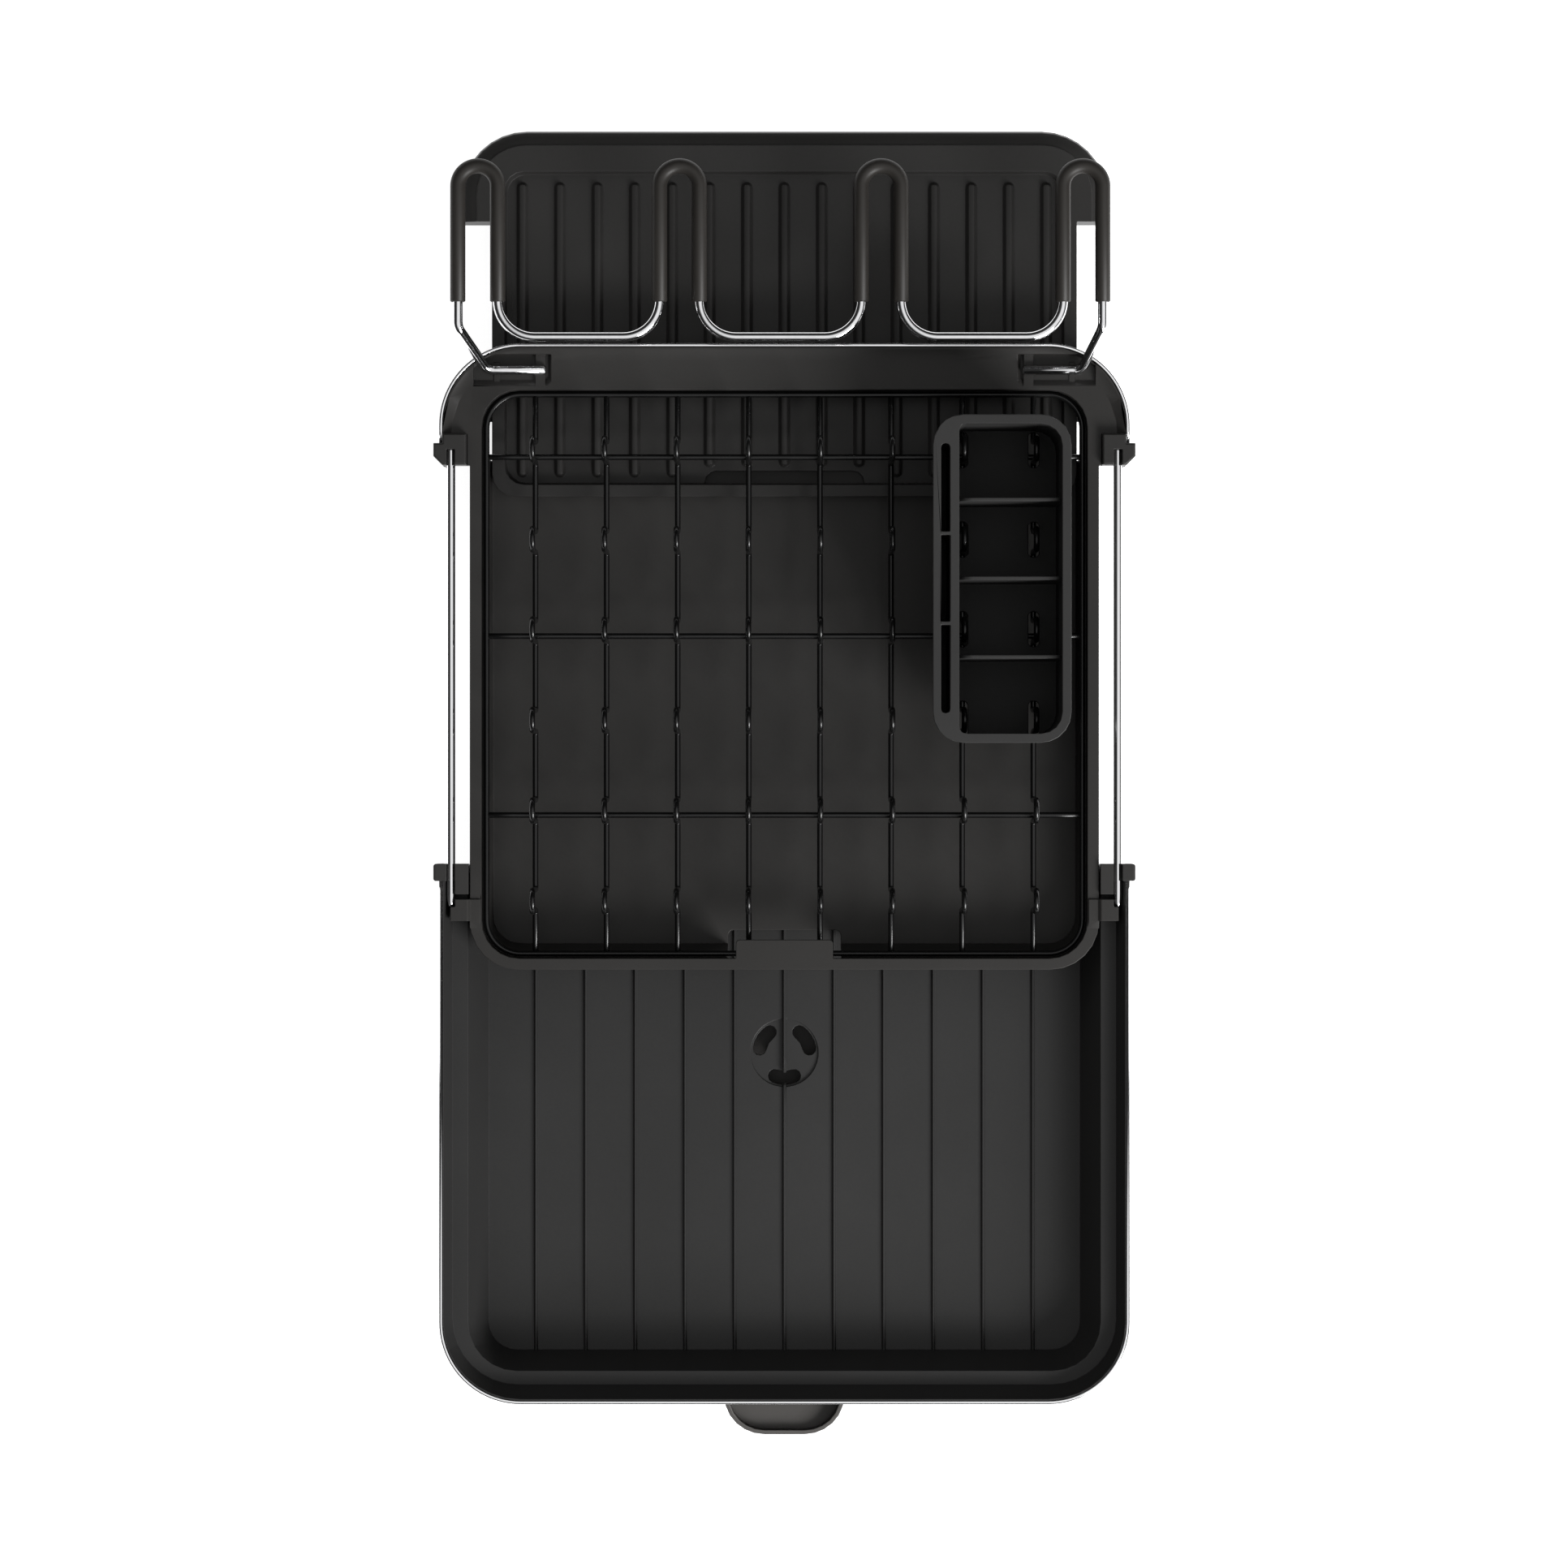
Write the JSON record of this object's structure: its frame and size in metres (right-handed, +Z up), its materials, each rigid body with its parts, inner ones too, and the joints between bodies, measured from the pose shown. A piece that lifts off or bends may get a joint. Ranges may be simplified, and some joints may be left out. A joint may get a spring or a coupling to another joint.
{
  "type": "expandable dish rack",
  "caption": "Low dish rack with a tined wire rack, a lift-off cutlery caddy, a slide-out drip drawer, a fold-up glass rail, an extending basin and a swivel drain spout.",
  "frame": {"origin": "on the worktop under the middle of the whole rack, pulled out to its full length", "axes": "+X to the right, +Y to the back where the drip drawer comes out, +Z up"},
  "size_m": [0.362, 0.682, 0.132],
  "materials": {
    "tray_plastic": "fine matte grain",
    "bracket_plastic": "fine matte grain",
    "caddy_plastic": "fine matte grain",
    "drawer_plastic": "satin",
    "spout_plastic": "satin",
    "band_steel": "brushed lengthways",
    "rod_steel": "polished",
    "rail_chrome": "polished",
    "wire_coating": "smooth coating",
    "sleeve_rubber": "soft matte",
    "foot_rubber": "soft matte",
    "screw_steel": "plain",
    "washer_plastic": "plain"
  },
  "bodies": {
    "main_body": {"main_tray": "tray_plastic", "back_band": "band_steel", "back_bracket_left": "bracket_plastic", "back_bracket_right": "bracket_plastic", "back_bracket_screws": "screw_steel", "side_rod_left": "rod_steel", "side_rod_right": "rod_steel", "rear_foot_left": "foot_rubber", "rear_foot_right": "foot_rubber"},
    "wire_rack": {"rack_rim_wire": "wire_coating", "rack_cross_wire_1": "wire_coating", "rack_cross_wire_2": "wire_coating", "rack_cross_wire_3": "wire_coating", "rack_tine_wire_1": "wire_coating", "rack_tine_wire_2": "wire_coating", "rack_tine_wire_3": "wire_coating", "rack_tine_wire_4": "wire_coating", "rack_tine_wire_5": "wire_coating", "rack_tine_wire_6": "wire_coating", "rack_tine_wire_7": "wire_coating", "rack_tine_wire_8": "wire_coating"},
    "caddy": {"cutlery_caddy": "caddy_plastic"},
    "drawer": {"drying_drawer": "drawer_plastic"},
    "glass_rail": {"glass_rail_wire": "rail_chrome", "rail_sleeve_1": "sleeve_rubber", "rail_sleeve_2": "sleeve_rubber", "rail_sleeve_3": "sleeve_rubber", "rail_sleeve_4": "sleeve_rubber"},
    "extension": {"extension_basin": "tray_plastic", "front_band": "band_steel", "front_bracket_left": "bracket_plastic", "front_bracket_right": "bracket_plastic", "front_bracket_screws": "screw_steel", "front_foot_left": "foot_rubber", "front_foot_right": "foot_rubber", "middle_foot_left": "foot_rubber", "middle_foot_right": "foot_rubber", "pivot_washer": "washer_plastic", "pivot_screw": "screw_steel"},
    "spout": {"swivel_spout": "spout_plastic"}
  },
  "joints": [
    {"name": "rack_lift", "type": "hinge", "parent": "main_body", "child": "wire_rack", "pos_m": [0, -0.0866, 0.0633], "axis": [1, 0, 0], "range_deg": [0, 25]},
    {"name": "caddy_lift", "type": "slide", "parent": "wire_rack", "child": "caddy", "axis": [0, 0, 1], "range_m": [0, 0.06]},
    {"name": "drawer_slide", "type": "slide", "parent": "main_body", "child": "drawer", "axis": [0, -1, 0], "range_m": [0, 0.112]},
    {"name": "rail_fold", "type": "hinge", "parent": "main_body", "child": "glass_rail", "pos_m": [0, 0.2148, 0.0728], "axis": [1, 0, 0], "range_deg": [0, 90]},
    {"name": "extension_slide", "type": "slide", "parent": "main_body", "child": "extension", "axis": [0, 1, 0], "range_m": [0, 0.205]},
    {"name": "spout_swing", "type": "hinge", "parent": "extension", "child": "spout", "pos_m": [0, -0.1395, 0.0075], "axis": [0, 0, 1], "range_deg": [-90, 90]}
  ]
}
